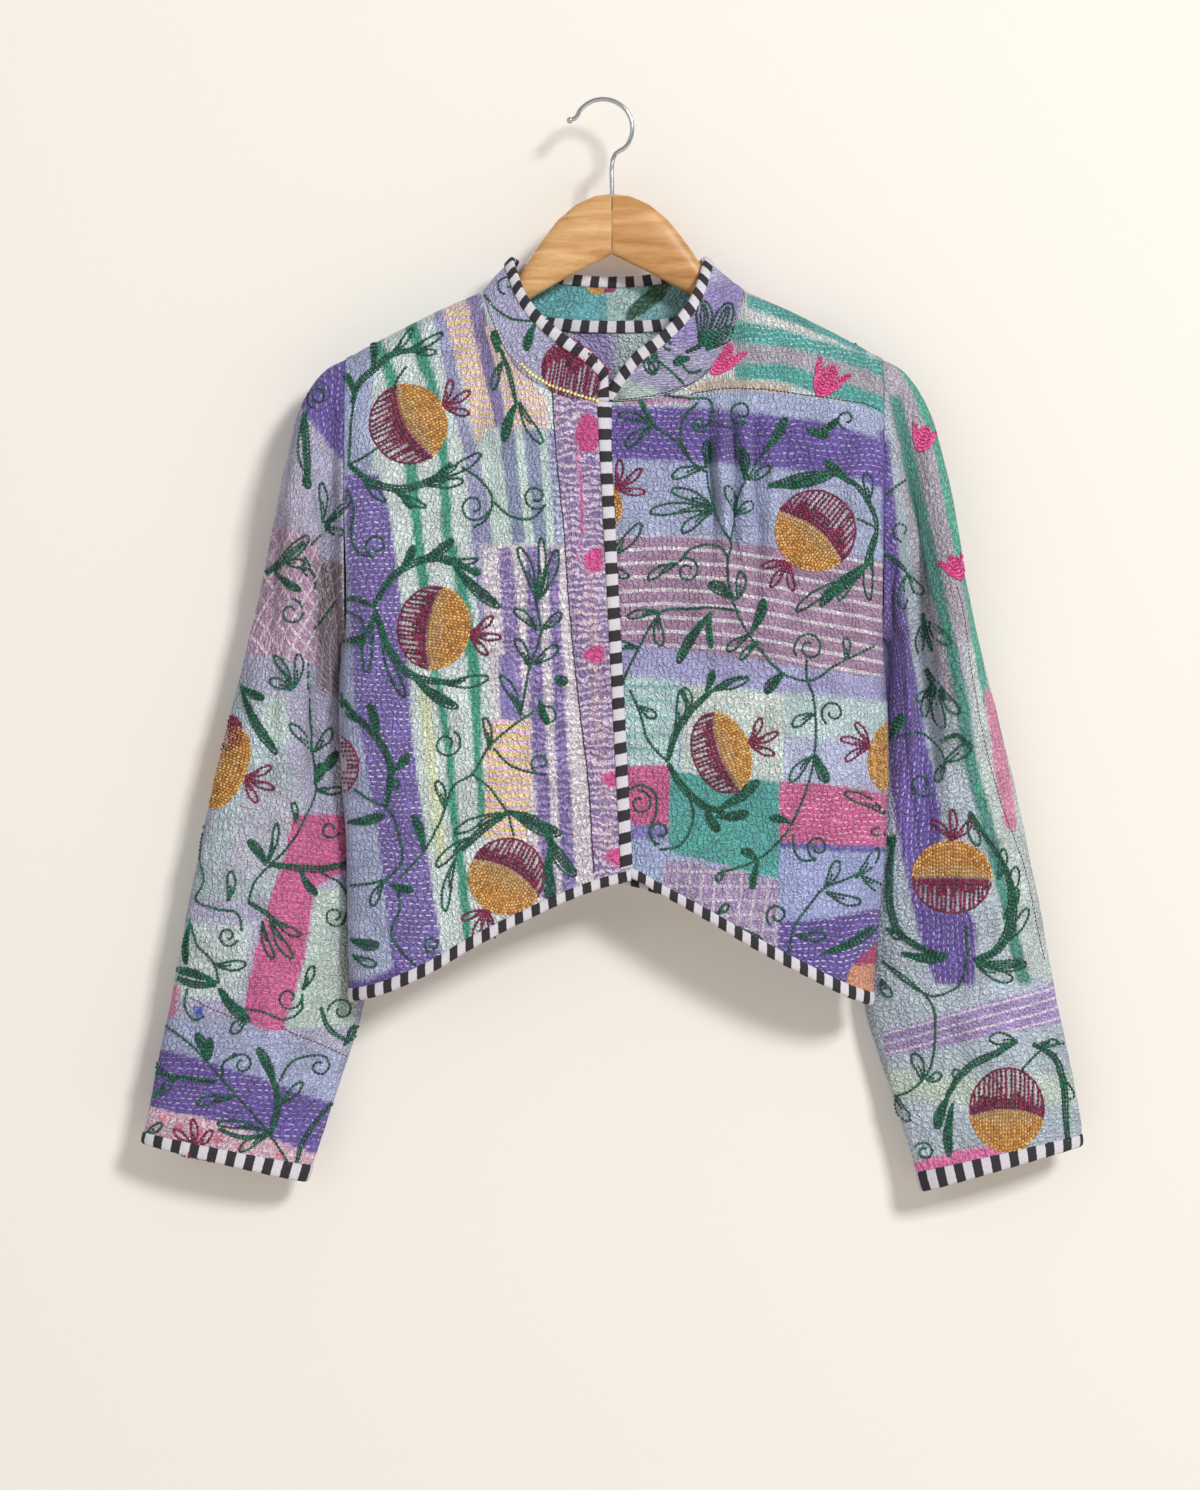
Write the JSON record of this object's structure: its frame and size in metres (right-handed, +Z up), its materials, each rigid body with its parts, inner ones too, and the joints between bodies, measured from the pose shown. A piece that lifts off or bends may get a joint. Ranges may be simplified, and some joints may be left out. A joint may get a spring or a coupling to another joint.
{
  "type": "kantha jacket on a hanger",
  "caption": "Short open-front quilted cotton jacket with stand collar, striped bound edges and long sleeves, hung on a wooden hanger with a steel hook.",
  "frame": {"origin": "underside of the hook's crown, where the hanger hangs on its pin or rail", "axes": "+Z up, +X to the viewer's right as the front is seen, +Y from the front to the back"},
  "size_m": [0.7823, 0.076, 0.9081],
  "materials": {
    "quilted_cotton": "matte printed cotton, running-stitched in rows",
    "striped_binding": "matte woven cotton in black and pale stripes",
    "beech_wood": "satin clear lacquer",
    "chromed_wire": "polished"
  },
  "bodies": {
    "root": {"front_right": "quilted_cotton", "front_left": "quilted_cotton", "back": "quilted_cotton", "sleeve_right": "quilted_cotton", "sleeve_left": "quilted_cotton", "collar": "quilted_cotton", "binding_front_right": "striped_binding", "binding_front_left": "striped_binding", "binding_hem_right": "striped_binding", "binding_hem_left": "striped_binding", "binding_hem_back": "striped_binding", "binding_cuff_right": "striped_binding", "binding_cuff_left": "striped_binding", "binding_collar": "striped_binding", "neck_tape": "striped_binding", "hanger_arm_right": "beech_wood", "hanger_arm_left": "beech_wood", "hanger_hook": "chromed_wire"}
  },
  "joints": []
}
